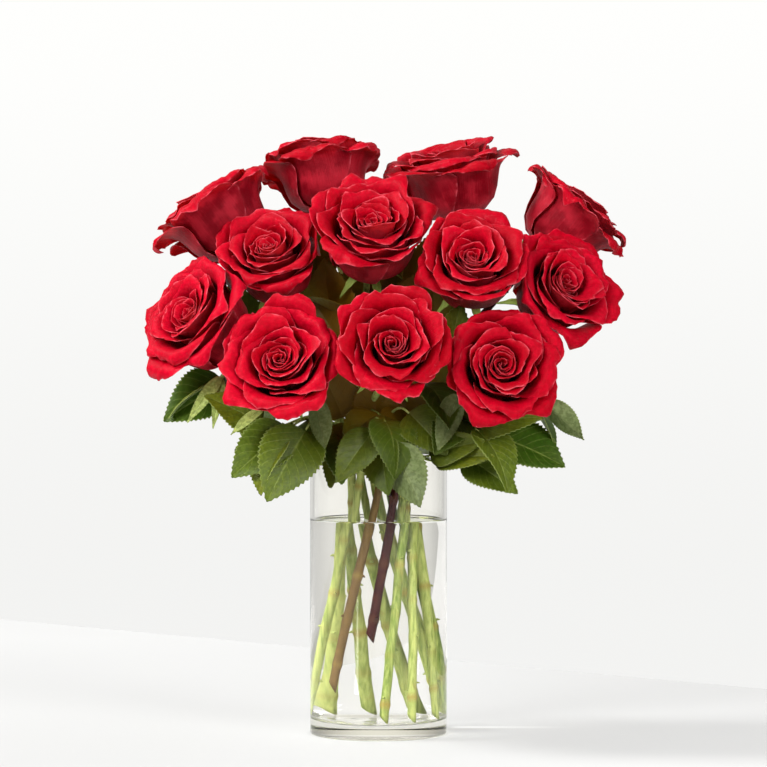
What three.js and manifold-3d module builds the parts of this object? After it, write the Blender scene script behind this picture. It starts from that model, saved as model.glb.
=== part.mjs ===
// A dozen cut roses standing in a clear glass cylinder vase of water.
// Millimetres, +Z up, the front of the bouquet towards -Y. The origin is the middle of the vase's underside.
// Each rose is two solids: a red bloom of nested petals, and a green stem with its hip, sepals and leaf.
// The stems cross in the vase like the lines of a hyperboloid, so that no two touch. They stand in holes
// in the water.

import * as THREE from "three";
import { mergeVertices } from "three/addons/utils/BufferGeometryUtils.js";
import Module from "manifold-3d";

const wasm = await Module();
wasm.setup();

// Vase and water
const VASE_RADIUS = 50;
const VASE_HEIGHT = 203;
const GLASS = 3;
const GLASS_BASE = 11;
const BASE_ROUNDING = 2;
const RIM_ROUNDING = 0.8;
const VASE_SIDES = 36;
const WATER_LEVEL = 156;
const GAP = 0.3;

// Blooms
const BLOOM_RADIUS = 44; // the bloom that the petal sizes below are given for
const BLOOM_MIDDLE = 38; // from the hip to the middle of a bloom, along its axis
const PETAL_THICKNESS = 0.8;
const BUD_SIDES = 7;
const SHOULDER = 0.6; // below it the petals of a ring are the same, and above it each ends in its own rim
const CURVE_STEPS = 24;
const PRESS_SOFTNESS = 3;
const NEIGHBOUR_DISTANCE = 120; // blooms whose middles are nearer than this press on each other

// The rings of petals from the outside in. age runs from 0 for a petal of the bud to 1 for a guard petal.
const RINGS = [
  { petals: 5, age: 1, turn: 0, columns: 3, rows: [0, 0.3, SHOULDER, 1] },
  { petals: 3, age: 0.55, turn: 30, columns: 3, rows: [0, SHOULDER, 1] },
  { petals: 2, age: 0.15, turn: 80, columns: 2, rows: [0, SHOULDER, 1] },
];

// Stems, hips and sepals
const STEM_SIDES = 5;
const STEM_FOOT_RADIUS = 3.2;
const STEM_TOP_RADIUS = 2.4;
const STEM_WATER_STEPS = 1;
const STEM_AIR_STEPS = 6;
const WAIST_HEIGHT = 182;
const HIP_LENGTH = 12;
const HIP_RADIUS = 6.4;
const SEPALS = 5;
const SEPAL_LENGTH = 27;
const SEPAL_WIDTH = 7;

// Leaves
const LEAF_THICKNESS = 0.7;
const TERMINAL_TEETH = 3;
const SIDE_TEETH = 2;
const TOOTH_DEPTH = 0.2;
const TOOTH_LEAN = 0.7; // how far along its own stretch a tooth has its point
const LEAFLET_SHAPE = 0.72; // width over length
const LEAFLET_FOLD = 0.25; // rise over half-width, from the midrib to the edge
const SIDE_LEAFLET_SIZE = 0.82;
const SIDE_LEAFLET_ANGLE = 62;
const SIDE_LEAFLET_PLACE = 0.62; // along the leaf stalk
const STALK_RADIUS = 1.1;

const RED = new THREE.MeshStandardMaterial({ color: 0xb0061c, roughness: 0.6, metalness: 0 });
const GREEN = new THREE.MeshStandardMaterial({ color: 0x55772f, roughness: 0.55, metalness: 0 });
const CLEAR = new THREE.MeshStandardMaterial({
  color: 0xf4f8f8,
  roughness: 0.03,
  metalness: 0,
  transparent: true,
  opacity: 0.3,
});

// Where each rose is. A direction is a compass angle, 0 towards -Y and 90 towards +X, and an angle above the
// horizon. middle: the middle of its bloom. facing: where the bloom faces. radius: of the open bloom.
// turn: its roll about its own axis. slot: the compass angle that its stem leans towards as it rises.
// waist: how far to the right of the vase's axis the stem passes, seen the way it leans. bend: how far the
// stem's last stretch keeps to the bloom's axis. foot: how far from the vase's axis the stem would meet the
// floor, and how high it is cut.
// Its leaves: at, the place along the stem's bend; facing; stalk, the length up to the end leaflet; size,
// the length of that leaflet; droop, how far a leaflet bends down; roll; and pairs, of side leaflets.
const ROSES = [
  {
    name: "front_left",
    middle: [-69, -92, 274],
    facing: [-9, 25],
    radius: 47,
    turn: 10,
    slot: -52,
    waist: 20,
    bend: 0.3,
    foot: [41, 12.3],
    leaves: [
      { at: 0.55, facing: [-36, -8], stalk: 48, size: 50, droop: 45, roll: 12, pairs: 1 },
    ],
  },
  {
    name: "front_middle",
    middle: [10, -112, 286],
    facing: [4, 22],
    radius: 43,
    turn: 60,
    slot: -24,
    waist: 20,
    bend: 0.3,
    foot: [41, 12.3],
    leaves: [
      { at: 0.5, facing: [20, 0], stalk: 38, size: 50, droop: 80, roll: 0, pairs: 1 },
      { at: 0.3, facing: [-10, 10], stalk: 34, size: 48, droop: 62, roll: 0, pairs: 0 },
    ],
  },
  {
    name: "front_right",
    middle: [87, -92, 271],
    facing: [9, 16],
    radius: 44,
    turn: 100,
    slot: 0,
    waist: 20,
    bend: 0.12,
    foot: [41, 12.3],
    leaves: [
      { at: 0.55, facing: [46, -10], stalk: 50, size: 54, droop: 50, roll: 0, pairs: 1 },
    ],
  },
  {
    name: "side_left",
    middle: [-132, -50, 305],
    facing: [-50, 30],
    radius: 48,
    turn: 35,
    slot: -80,
    waist: 20,
    bend: 0.3,
    foot: [41, 12.3],
    leaves: [
      { at: 0.74, facing: [-74, 6], stalk: 42, size: 52, droop: 35, roll: 0, pairs: 1 },
    ],
  },
  {
    name: "middle_left",
    middle: [-79, -36, 353],
    facing: [-15, 45],
    radius: 43,
    turn: 80,
    slot: -110,
    waist: 20,
    bend: 0.3,
    foot: [41, 12.3],
    leaves: [
      { at: 0.62, facing: [-96, 25], stalk: 30, size: 50, droop: 40, roll: 0, pairs: 0 },
    ],
  },
  {
    name: "middle",
    middle: [-5, -50, 368],
    facing: [5, 45],
    radius: 47,
    turn: 15,
    slot: -69,
    waist: 4,
    bend: 0.3,
    foot: [37, 12.3],
    leaves: [
      { at: 0.62, facing: [-45, 50], stalk: 26, size: 44, droop: 10, roll: 0, pairs: 1 },
    ],
  },
  {
    name: "middle_right",
    middle: [67, -68, 347],
    facing: [5, 36],
    radius: 43,
    turn: 130,
    slot: 46,
    waist: 20,
    bend: 0.12,
    foot: [41, 12.3],
    leaves: [
      { at: 0.42, facing: [30, 10], stalk: 30, size: 48, droop: 60, roll: 0, pairs: 0 },
    ],
  },
  {
    name: "side_right",
    middle: [134, -42, 328],
    facing: [34, 27],
    radius: 44,
    turn: 50,
    slot: 92,
    waist: 20,
    bend: 0.2,
    foot: [41, 34],
    leaves: [
      { at: 0.5, facing: [78, -10], stalk: 50, size: 52, droop: 50, roll: -6, pairs: 1 },
    ],
  },
  {
    name: "back_left",
    middle: [-122, 34, 384],
    facing: [-105, 54],
    radius: 48,
    turn: 5,
    slot: -142,
    waist: 20,
    bend: 0.3,
    foot: [41, 12.3],
    leaves: [
      { at: 0.4, facing: [-122, 2], stalk: 46, size: 52, droop: 50, roll: 0, pairs: 1 },
    ],
  },
  {
    name: "top_left",
    middle: [-44, 58, 419],
    facing: [-150, 72],
    radius: 47,
    turn: 120,
    slot: -176,
    waist: 20,
    bend: 0.3,
    foot: [41, 12.3],
    leaves: [
      { at: 0.35, facing: [-166, 0], stalk: 46, size: 48, droop: 50, roll: 0, pairs: 1 },
    ],
  },
  {
    name: "top_right",
    middle: [51, 52, 414],
    facing: [-60, 76],
    radius: 50,
    turn: 70,
    slot: 156,
    waist: 20,
    bend: 0.3,
    foot: [41, 12.3],
    leaves: [
      { at: 0.3, facing: [162, -4], stalk: 46, size: 48, droop: 50, roll: 0, pairs: 1 },
    ],
  },
  {
    name: "back_right",
    middle: [146, 32, 382],
    facing: [95, 48],
    radius: 46,
    turn: 90,
    slot: 128,
    waist: 20,
    bend: 0.3,
    foot: [41, 71],
    leaves: [
      { at: 0.25, facing: [115, 12], stalk: 44, size: 48, droop: 40, roll: 0, pairs: 1 },
    ],
  },
];

const radians = THREE.MathUtils.degToRad;
const mix = THREE.MathUtils.lerp;

function smoothStep(from, to, x) {
  const t = THREE.MathUtils.clamp((x - from) / (to - from), 0, 1);
  return t * t * (3 - 2 * t);
}

// A repeatable number from -1 to 1 for a rose and a place on it.
function jitter(seed, place) {
  const x = Math.sin(seed * 12.9898 + place * 78.233) * 43758.5453;
  return 2 * (x - Math.floor(x)) - 1;
}

// The unit vector at a compass angle and an angle above the horizon.
function direction(compass, rise) {
  const flat = Math.cos(radians(rise));
  return new THREE.Vector3(
    Math.sin(radians(compass)) * flat,
    -Math.cos(radians(compass)) * flat,
    Math.sin(radians(rise)),
  );
}

// A solid from a list of points and triangles.
function solidOf(points, triangles) {
  const geometry = new THREE.BufferGeometry().setFromPoints(points);
  geometry.setIndex(triangles.flat());
  return solidOfGeometry(geometry);
}

function solidOfGeometry(geometry) {
  const bare = geometry.clone();
  bare.deleteAttribute("normal");
  bare.deleteAttribute("uv");
  const merged = mergeVertices(bare, 1e-4);
  return new wasm.Manifold(
    new wasm.Mesh({
      numProp: 3,
      vertProperties: merged.attributes.position.array,
      triVerts: new Uint32Array(merged.index.array),
    }),
  );
}

// The largest body of a joined solid, as a mesh with its short edges cleaned away.
function meshOf(name, solid, material) {
  const bodies = solid.decompose();
  bodies.sort((a, b) => b.volume() - a.volume());
  const mesh = bodies[0].simplify(0.02).getMesh();
  const geometry = new THREE.BufferGeometry();
  const positions = new Float32Array(mesh.numVert * 3);
  for (let i = 0; i < mesh.numVert; i++) {
    positions.set(mesh.vertProperties.subarray(i * mesh.numProp, i * mesh.numProp + 3), i * 3);
  }
  geometry.setAttribute("position", new THREE.BufferAttribute(positions, 3));
  geometry.setIndex(new THREE.BufferAttribute(mesh.triVerts, 1));
  geometry.computeVertexNormals();
  const made = new THREE.Mesh(geometry, material);
  made.name = name;
  return made;
}

// A sheet given by its middle surface, at(u, v) with u and v from 0 to 1, thickened by half to each side.
// Both faces are split into the same triangles, so that they never cross.
function bladeOf(at, us, vs, thickness) {
  const small = 1e-3;
  const faces = [1, -1].map((side) =>
    vs.map((v) =>
      us.map((u) => {
        const alongU = at(Math.min(u + small, 1), v).sub(at(Math.max(u - small, 0), v));
        const alongV = at(u, Math.min(v + small, 1)).sub(at(u, Math.max(v - small, 0)));
        const normal = alongU.cross(alongV).normalize();
        return at(u, v).addScaledVector(normal, (side * thickness) / 2);
      }),
    ),
  );
  const points = faces.flat(2);
  const columns = us.length;
  const perFace = columns * vs.length;
  const index = (face, row, column) => face * perFace + row * columns + column;
  const triangles = [];
  const quad = (a, b, c, d) => triangles.push([a, b, c], [a, c, d]);
  for (let row = 0; row + 1 < vs.length; row++) {
    for (let column = 0; column + 1 < columns; column++) {
      const corners = [
        [row, column],
        [row, column + 1],
        [row + 1, column + 1],
        [row + 1, column],
      ];
      const [a, b, c, d] = corners.map(([r, k]) => index(0, r, k));
      const [e, f, g, h] = corners.map(([r, k]) => index(1, r, k));
      triangles.push([a, b, c], [a, c, d], [e, g, f], [e, h, g]);
    }
  }
  const top = vs.length - 1;
  const right = columns - 1;
  for (let k = 0; k < right; k++) {
    quad(index(1, 0, k), index(1, 0, k + 1), index(0, 0, k + 1), index(0, 0, k));
    quad(index(0, top, k), index(0, top, k + 1), index(1, top, k + 1), index(1, top, k));
  }
  for (let r = 0; r < top; r++) {
    quad(index(0, r, 0), index(0, r + 1, 0), index(1, r + 1, 0), index(1, r, 0));
    quad(index(1, r, right), index(1, r + 1, right), index(0, r + 1, right), index(0, r, right));
  }
  return solidOf(points, triangles);
}

// A round rod through points, with a radius at each, flat at both ends.
function rodOf(path, radii, sides) {
  const points = [];
  const triangles = [];
  const across = new THREE.Vector3(1, 0, 0);
  path.forEach((point, i) => {
    const before = path[Math.max(i - 1, 0)];
    const after = path[Math.min(i + 1, path.length - 1)];
    const along = after.clone().sub(before).normalize();
    across.addScaledVector(along, -across.dot(along)).normalize();
    const up = along.clone().cross(across);
    for (let k = 0; k < sides; k++) {
      const angle = (2 * Math.PI * k) / sides;
      points.push(
        point
          .clone()
          .addScaledVector(across, Math.cos(angle) * radii[i])
          .addScaledVector(up, Math.sin(angle) * radii[i]),
      );
    }
  });
  for (let i = 0; i + 1 < path.length; i++) {
    for (let k = 0; k < sides; k++) {
      const next = (k + 1) % sides;
      const [a, b] = [i * sides + k, i * sides + next];
      triangles.push([a, b, b + sides], [a, b + sides, a + sides]);
    }
  }
  const last = (path.length - 1) * sides;
  for (let k = 1; k + 1 < sides; k++) {
    triangles.push([0, k + 1, k], [last, last + k, last + k + 1]);
  }
  return solidOf(points, triangles);
}

// The frame of a bloom: its hip's top, its axis, and two directions across it.
function frameOf(rose) {
  const axis = direction(...rose.facing);
  const base = new THREE.Vector3(...rose.middle).addScaledVector(axis, -BLOOM_MIDDLE);
  const level = new THREE.Vector3(0, 0, 1).cross(axis).normalize();
  const up = axis.clone().cross(level);
  return { base, axis, level, up };
}

function placed(frame, x, y, z) {
  return frame.base
    .clone()
    .addScaledVector(frame.level, x)
    .addScaledVector(frame.up, y)
    .addScaledVector(frame.axis, z);
}

// Neighbouring blooms press on each other at a plane between them: the planes that a bloom stays behind.
function pressPlanes(rose) {
  const here = new THREE.Vector3(...rose.middle);
  return ROSES.filter((other) => other !== rose)
    .map((other) => {
      const toOther = new THREE.Vector3(...other.middle).sub(here);
      const apart = toOther.length();
      const reach = (apart * rose.radius) / (rose.radius + other.radius);
      const room = reach - GAP - PETAL_THICKNESS / 2;
      return { normal: toOther.normalize(), here, reach: room, near: apart < NEIGHBOUR_DISTANCE };
    })
    .filter((plane) => plane.near);
}

function pressed(point, planes) {
  for (const { normal, here, reach } of planes) {
    const out = normal.dot(point) - normal.dot(here);
    const excess = (out - reach) / PRESS_SOFTNESS;
    const pushed = excess > 30 ? excess : Math.log1p(Math.exp(excess));
    point.addScaledVector(normal, -pushed * PRESS_SOFTNESS);
  }
  return point;
}

// A petal's measures. Its long section leaves the hip at an angle, turns upright, and rolls outward at the
// rim: the angles are from the bloom's axis, in degrees. Petals of one ring lie on each other as in a coil.
function petalOf(rose, seed, ring, order) {
  const { age } = ring;
  const place = 10 * RINGS.indexOf(ring);
  const around = rose.turn + ring.turn + (360 * order) / ring.petals;
  return {
    around: radians(around + 6 * jitter(seed, place + order)),
    length: mix(43, 64, age),
    tip: 0.96 + 0.04 * jitter(seed, place + order + 40),
    start: mix(3, 8, age),
    height: mix(5, 1, age),
    leave: mix(25, 84, Math.sqrt(age)),
    stand: mix(-4, 12, age) + 3 * jitter(seed, place + 80),
    roll: mix(6, 118, age ** 1.3) + 14 * age * jitter(seed, place + 120),
    halfWidth: mix(13, 27, age),
    twist: mix(0.8, 3.2, age),
    wave: 0.6 * age,
    phase: 3 * jitter(seed, place + order + 160),
  };
}

// A point of the petal in its bloom's frame. u is across it, from 0 to 1, and v is from its foot to its rim.
function petalPoint(petal, u, v) {
  const across = 2 * u - 1;
  const end = petal.tip * (1 - 0.26 * Math.abs(across) ** 2.4);
  const reach = v < SHOULDER ? v : mix(SHOULDER, end, (v - SHOULDER) / (1 - SHOULDER));
  let radius = petal.start;
  let height = petal.height;
  for (let i = 0; i < CURVE_STEPS; i++) {
    const s = (reach * (i + 0.5)) / CURVE_STEPS;
    const angle =
      petal.leave +
      (petal.stand - petal.leave) * smoothStep(0, 0.44, s) +
      (petal.roll - petal.stand) * smoothStep(0.55, 1.1, s);
    radius += ((petal.length * reach) / CURVE_STEPS) * Math.sin(radians(angle));
    height += ((petal.length * reach) / CURVE_STEPS) * Math.cos(radians(angle));
  }
  const width = petal.halfWidth * mix(0.1, 1, Math.sin((Math.PI / 2) * Math.min(v / 0.75, 1)));
  const turned = THREE.MathUtils.clamp((across * width) / Math.max(radius, 4.5), -2.2, 2.2);
  const wave = petal.wave * Math.sin(Math.PI * 2 * across + petal.phase) * v ** 3;
  const out = Math.max(radius + petal.twist * turned + wave, 1);
  const angle = petal.around + turned;
  return [out * Math.cos(angle), out * Math.sin(angle), height + 0.6 * wave];
}

function petalBlade(rose, seed, ring, order, planes) {
  const frame = frameOf(rose);
  const petal = petalOf(rose, seed, ring, order);
  const scale = rose.radius / BLOOM_RADIUS;
  const us = Array.from({ length: ring.columns + 1 }, (_, i) => i / ring.columns);
  const at = (u, v) => {
    const [x, y, z] = petalPoint(petal, u, v);
    return pressed(placed(frame, x * scale, y * scale, z * scale), planes);
  };
  return bladeOf(at, us, ring.rows, PETAL_THICKNESS);
}

// The bud in the middle of a bloom, with the seat that every petal grows from.
function budOf(rose) {
  const frame = frameOf(rose);
  const scale = rose.radius / BLOOM_RADIUS;
  const section = [
    [0, 0],
    [9, 0],
    [9.6, 4],
    [3.4, 16],
    [3.6, 32],
    [0, 42],
  ].map(([r, z]) => new THREE.Vector2(r * scale, z * scale));
  const toBloom = new THREE.Matrix4()
    .makeBasis(frame.level, frame.axis, frame.up.clone().negate())
    .setPosition(frame.base);
  return solidOfGeometry(new THREE.LatheGeometry(section, BUD_SIDES).applyMatrix4(toBloom));
}

function bloomOf(rose, seed) {
  const planes = pressPlanes(rose);
  const pieces = [budOf(rose)];
  for (const ring of RINGS) {
    for (let order = 0; order < ring.petals; order++) {
      pieces.push(petalBlade(rose, seed, ring, order, planes));
    }
  }
  return wasm.Manifold.union(pieces);
}

// A stem runs straight through the water to the waist of the bundle, and then bends up to its bloom.
function stemCourse(rose) {
  const { base, axis } = frameOf(rose);
  const outward = direction(rose.slot, 0);
  const aside = direction(rose.slot - 90, 0);
  const [footRadius, footHeight] = rose.foot;
  const footReach = Math.sqrt(footRadius ** 2 - rose.waist ** 2);
  const waist = aside.clone().multiplyScalar(rose.waist).setZ(WAIST_HEIGHT);
  const floorFoot = waist.clone().addScaledVector(outward, -footReach).setZ(GLASS_BASE + GAP);
  const share = (WAIST_HEIGHT - footHeight) / (WAIST_HEIGHT - GLASS_BASE - GAP);
  const foot = waist.clone().lerp(floorFoot, Math.min(share, 1));
  const hipFoot = base.clone().addScaledVector(axis, -HIP_LENGTH);
  const climb = waist.clone().sub(floorFoot).normalize();
  const span = hipFoot.distanceTo(waist);
  const bend = new THREE.CubicBezierCurve3(
    waist,
    waist.clone().addScaledVector(climb, 0.42 * span),
    hipFoot.clone().addScaledVector(axis, -rose.bend * span),
    hipFoot,
  );
  return { foot, waist, bend };
}

function stemPath(rose) {
  const { foot, waist, bend } = stemCourse(rose);
  const straight = Array.from({ length: STEM_WATER_STEPS }, (_, i) =>
    foot.clone().lerp(waist, i / STEM_WATER_STEPS),
  );
  return [...straight, ...bend.getPoints(STEM_AIR_STEPS)];
}

function stemRadii(path, extra = 0) {
  return path.map((_, i) => mix(STEM_FOOT_RADIUS, STEM_TOP_RADIUS, i / (path.length - 1)) + extra);
}

// The stem swells at its end into the hip, which the bloom sits on.
function stemRod(rose) {
  const { base, axis } = frameOf(rose);
  const path = stemPath(rose);
  const radii = stemRadii(path);
  for (const [height, radius] of [
    [-HIP_LENGTH * 0.7, HIP_RADIUS * 0.8],
    [-HIP_LENGTH * 0.35, HIP_RADIUS],
    [-GAP, HIP_RADIUS * 0.95],
  ]) {
    path.push(base.clone().addScaledVector(axis, height));
    radii.push(radius);
  }
  return rodOf(path, radii, STEM_SIDES);
}

// A sepal is a narrow pointed blade that arches out from the hip and hangs back along the stem.
function sepalOf(rose, seed, order) {
  const frame = frameOf(rose);
  const around = (2 * Math.PI * (order + 0.2 * jitter(seed, order + 200))) / SEPALS;
  const droop = 150 + 18 * jitter(seed, order + 220);
  const at = (u, v) => {
    let radius = HIP_RADIUS - 2;
    let height = -2.6;
    const steps = 12;
    for (let i = 0; i < steps; i++) {
      const angle = radians(mix(88, droop, Math.min((1.6 * v * (i + 0.5)) / steps, 1)));
      radius += ((SEPAL_LENGTH * v) / steps) * Math.sin(angle);
      height += ((SEPAL_LENGTH * v) / steps) * Math.cos(angle);
    }
    const half = (SEPAL_WIDTH / 2) * (v < 0.3 ? mix(0.5, 1, v / 0.3) : mix(1, 0.12, (v - 0.3) / 0.7));
    const side = (2 * u - 1) * half;
    return placed(
      frame,
      radius * Math.cos(around) - side * Math.sin(around),
      radius * Math.sin(around) + side * Math.cos(around),
      height,
    );
  };
  return bladeOf(at, [0, 1], [0, 0.3, 1], LEAF_THICKNESS);
}

// A leaflet from its foot, along a direction, with a normal that its tip bends away from. Its edge is cut
// into teeth.
function leafletOf(foot, along, normal, length, droop, teeth, columns) {
  const across = along.clone().cross(normal).normalize();
  const at = (u, v) => {
    const point = foot.clone();
    const steps = 8;
    for (let i = 0; i < steps; i++) {
      const angle = radians(droop * v * ((i + 0.5) / steps));
      point.addScaledVector(along, ((length * v) / steps) * Math.cos(angle));
      point.addScaledVector(normal, ((-length * v) / steps) * Math.sin(angle));
    }
    const tooth = (v * teeth) % 1;
    const cut = tooth < TOOTH_LEAN ? 1 - tooth / TOOTH_LEAN : (tooth - TOOTH_LEAN) / (1 - TOOTH_LEAN);
    const outline = 0.06 + 0.94 * Math.sin(Math.PI * Math.min(v ** 0.8, 1)) ** 0.8;
    const half = ((LEAFLET_SHAPE * length) / 2) * outline * (1 - TOOTH_DEPTH * cut);
    const side = 2 * u - 1;
    const fold = columns > 2 ? LEAFLET_FOLD * Math.abs(side) * half : 0;
    return point.addScaledVector(across, side * half).addScaledVector(normal, fold);
  };
  const us = Array.from({ length: columns }, (_, i) => i / (columns - 1));
  const vs = [0];
  for (let i = 0; i < teeth; i++) {
    vs.push((i + TOOTH_LEAN) / teeth, (i + 1 - 1e-3) / teeth);
  }
  return bladeOf(at, us, vs, LEAF_THICKNESS);
}

// A rose leaf: a stalk that arches out of the stem, with a leaflet at its end and one on each side.
function leafOf(rose, leaf) {
  const { at, facing, stalk, size, droop, roll, pairs } = leaf;
  const start = stemCourse(rose).bend.getPoint(at);
  const out = direction(...facing);
  const sag = new THREE.Vector3(0, 0, -0.2 * stalk);
  const arch = new THREE.QuadraticBezierCurve3(
    start,
    start.clone().addScaledVector(out, 0.55 * stalk),
    start.clone().addScaledVector(out, stalk).add(sag),
  );
  const pieces = [rodOf(arch.getPoints(3), [1.4, 1, 0.9, 0.8].map((share) => share * STALK_RADIUS), 3)];
  const leaflet = (place, angle, length, teeth, columns) => {
    const along = arch.getTangent(place);
    const level = new THREE.Vector3(0, 0, 1).cross(along).normalize();
    level.applyAxisAngle(along, radians(roll));
    const normal = along.clone().cross(level);
    const turned = along.clone().applyAxisAngle(normal, radians(angle));
    pieces.push(leafletOf(arch.getPoint(place), turned, normal, length, droop, teeth, columns));
  };
  leaflet(0.97, 0, size, TERMINAL_TEETH, 3);
  if (pairs > 0) {
    leaflet(SIDE_LEAFLET_PLACE, SIDE_LEAFLET_ANGLE, size * SIDE_LEAFLET_SIZE, SIDE_TEETH, 2);
    leaflet(SIDE_LEAFLET_PLACE, -SIDE_LEAFLET_ANGLE, size * SIDE_LEAFLET_SIZE, SIDE_TEETH, 2);
  }
  return pieces;
}

function stemOf(rose, seed) {
  const pieces = [stemRod(rose), ...rose.leaves.flatMap((leaf) => leafOf(rose, leaf))];
  for (let i = 0; i < SEPALS; i++) {
    pieces.push(sepalOf(rose, seed, i));
  }
  return wasm.Manifold.union(pieces);
}

function vaseOf() {
  const inner = VASE_RADIUS - GLASS;
  const section = [
    [0, 0],
    [VASE_RADIUS - BASE_ROUNDING, 0],
    [VASE_RADIUS, BASE_ROUNDING],
    [VASE_RADIUS, VASE_HEIGHT - RIM_ROUNDING],
    [VASE_RADIUS - RIM_ROUNDING, VASE_HEIGHT],
    [inner + RIM_ROUNDING, VASE_HEIGHT],
    [inner, VASE_HEIGHT - RIM_ROUNDING],
    [inner, GLASS_BASE + BASE_ROUNDING],
    [inner - BASE_ROUNDING, GLASS_BASE],
    [0, GLASS_BASE],
  ];
  return latheOf(section);
}

// A lathe about the Z axis from radius and height pairs.
function latheOf(section) {
  const points = section.map(([r, z]) => new THREE.Vector2(r, z));
  return solidOfGeometry(new THREE.LatheGeometry(points, VASE_SIDES).rotateX(Math.PI / 2));
}

function waterOf() {
  const radius = VASE_RADIUS - GLASS - GAP * 1.5;
  const bottom = GLASS_BASE + GAP;
  const body = latheOf([
    [0, bottom],
    [radius - BASE_ROUNDING, bottom],
    [radius, bottom + BASE_ROUNDING],
    [radius, WATER_LEVEL],
    [0, WATER_LEVEL],
  ]);
  const holes = ROSES.map((rose) => {
    const path = stemPath(rose);
    const below = path[0].clone().sub(path[1]).normalize();
    path[0].addScaledVector(below, 2);
    return rodOf(path, stemRadii(path, 2 * GAP), STEM_SIDES);
  });
  return body.subtract(wasm.Manifold.union(holes));
}

const roses = new THREE.Group();
roses.add(meshOf("vase", vaseOf(), CLEAR));
roses.add(meshOf("water", waterOf(), CLEAR));
ROSES.forEach((rose, seed) => {
  roses.add(meshOf("bloom_" + rose.name, bloomOf(rose, seed), RED));
  roses.add(meshOf("stem_" + rose.name, stemOf(rose, seed), GREEN));
});

export default roses;
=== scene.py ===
"""The looks of twelve red roses in a clear glass cylinder vase of water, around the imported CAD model."""

import math

import bpy
import numpy as np
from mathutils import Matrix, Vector

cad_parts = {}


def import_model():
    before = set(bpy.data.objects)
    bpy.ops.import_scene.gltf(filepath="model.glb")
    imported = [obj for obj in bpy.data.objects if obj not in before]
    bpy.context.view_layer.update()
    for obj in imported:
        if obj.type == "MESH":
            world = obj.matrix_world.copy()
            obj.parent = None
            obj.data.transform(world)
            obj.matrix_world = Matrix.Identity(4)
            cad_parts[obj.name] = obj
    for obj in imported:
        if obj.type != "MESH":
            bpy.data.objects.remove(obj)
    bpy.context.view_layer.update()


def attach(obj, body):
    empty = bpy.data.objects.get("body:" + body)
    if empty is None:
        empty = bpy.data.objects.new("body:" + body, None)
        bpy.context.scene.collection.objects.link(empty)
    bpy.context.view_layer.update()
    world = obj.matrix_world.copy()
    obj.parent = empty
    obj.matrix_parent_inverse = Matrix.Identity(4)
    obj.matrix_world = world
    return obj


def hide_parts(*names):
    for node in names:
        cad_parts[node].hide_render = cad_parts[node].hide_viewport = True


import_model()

MM = 0.001
MARKS = ("rim", "back", "tone", "depth")

# The vase and its water, in millimetres, as in the part's source.
VASE_RADIUS = 50
VASE_HEIGHT = 203
GLASS = 3
GLASS_BASE = 11
WATER_LEVEL = 156
LATHE_SIDES = 160
FLOOR_DISH = ((38, 0.1), (35.5, 1.1), (18, 1.3), (0, 1.35))  # radius, and depth under the flat floor
WATER_LAP = 0.08
MENISCUS = ((0.1, 1.5), (0.4, 1.2), (0.9, .8), (1.6, .45), (2.6, .2), (4.5, .04))  # inwards, and rise

# The blooms.
BLOOM_RADIUS = 44
BLOOM_MIDDLE = 38
NEIGHBOUR_DISTANCE = 120
GAP = 0.3
CAD_PETAL_THICKNESS = 0.8
PRESS_SOFTNESS = 3
PETAL_THICKNESS = 0.42
SHOULDER = 0.6
CURVE_STEPS = 24
GOLDEN_ANGLE = 137.508
BUD_PETALS = 14
GUARD_PETALS = 5
RIM_FADE = 0.5
# Of a petal: where its foot is, its length, its angles on leaving the foot, standing and rolled out, where
# the roll begins, its half width, its twist out of the ring, and how loose it is.
PETAL_VALUES = (
    "start", "height", "length", "leave", "stand", "roll", "rolls_from", "half_width", "twist", "loose",
)
LENGTH, ROLL, HALF_WIDTH = 2, 5, 7  # places in PETAL_VALUES
OUTER_ROWS = np.array([
    0, .16, .3, .41, .5, .57, .63, .685, .735, .78, .82, .855, .885, .91, .935, .955, .975, .99, 1,
])
OUTER_COLUMNS = np.sin(math.pi / 2 * np.linspace(-1, 1, 27))
BUD_ROWS = np.array([0, .2, .4, .55, .66, .74, .8, .85, .89, .925, .955, .98, 1])
BUD_COLUMNS = np.sin(math.pi / 2 * np.linspace(-1, 1, 15))

# The stems and leaves.
WAIST_HEIGHT = 182
HIP_LENGTH = 12
HIP_PROFILE = ((-8.4, 5.12), (-4.2, 6.4), (-0.3, 6.08))  # height from the bloom, and radius
STEM_FOOT_RADIUS = 3.2
STEM_TOP_RADIUS = 2.4
STEM_SIDES = 12
CUT_SLANT = 1.1
CUT_LIFT = ((2.2,), (1.8,))  # lifts the first two rings, so that the slanted cut clears the glass
KNOT_LENGTH = 2.6
KNOT_SWELL = 0.2
KNOT_BEND = 0.9
SEPALS = 5
SEPAL_LENGTH = 27
SEPAL_WIDTH = 7
SEPAL_THICKNESS = 0.6
LEAF_THICKNESS = 0.5
LEAF_TEETH = 17
TOOTH_DEPTH = 0.07
LEAFLET_SHAPE = 0.72
LEAFLET_FOLD = 0.25
SIDE_LEAFLET_SIZE = 0.82
SIDE_LEAFLET_ANGLE = 62
SIDE_LEAFLET_PLACE = 0.62
LEAFLET_COLUMNS = np.array([-1, -.93, -.78, -.6, -.42, -.25, -.09, 0, .09, .25, .42, .6, .78, .93, 1])

# The camera. Its distance is a guess, and the focal length is in pixels of the square photo.
CAMERA_PLACE = (0.00365, -2.6, 0.328)
CAMERA_TILT = 1.59
FOCAL_PIXELS = 3562
PHOTO_SIDE = 767
SENSOR_WIDTH = 36

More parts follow.
